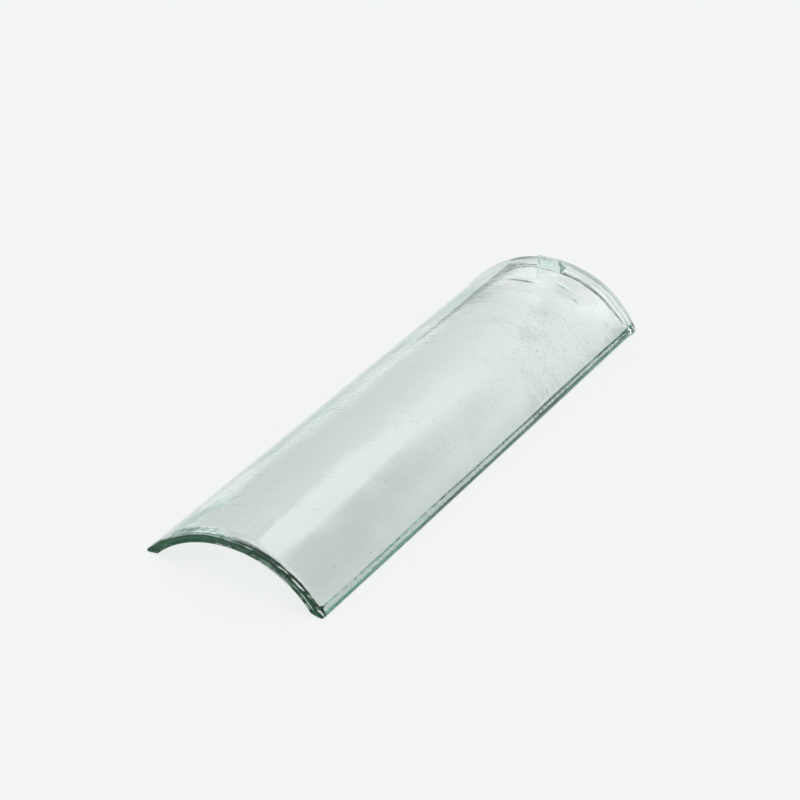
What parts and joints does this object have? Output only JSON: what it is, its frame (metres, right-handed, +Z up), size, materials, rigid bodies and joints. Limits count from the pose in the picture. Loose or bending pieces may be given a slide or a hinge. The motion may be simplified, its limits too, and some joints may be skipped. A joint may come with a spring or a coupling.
{
  "type": "glass roof tile",
  "caption": "Curved roof tile of clear pressed glass: a tapered channel with rounded rims, thickened inside its wide end, and a hook for the batten on the crown there.",
  "frame": {"origin": "centre of the footprint, on the level plane of the two long resting edges", "axes": "+Z up out of the crown, +Y along the tile from the narrow end to the wide end with the hook, +X across it"},
  "size_m": [0.1506, 0.5, 0.0544],
  "materials": {
    "glass": "gloss"
  },
  "bodies": {
    "root": {"tile": "glass"}
  },
  "joints": []
}
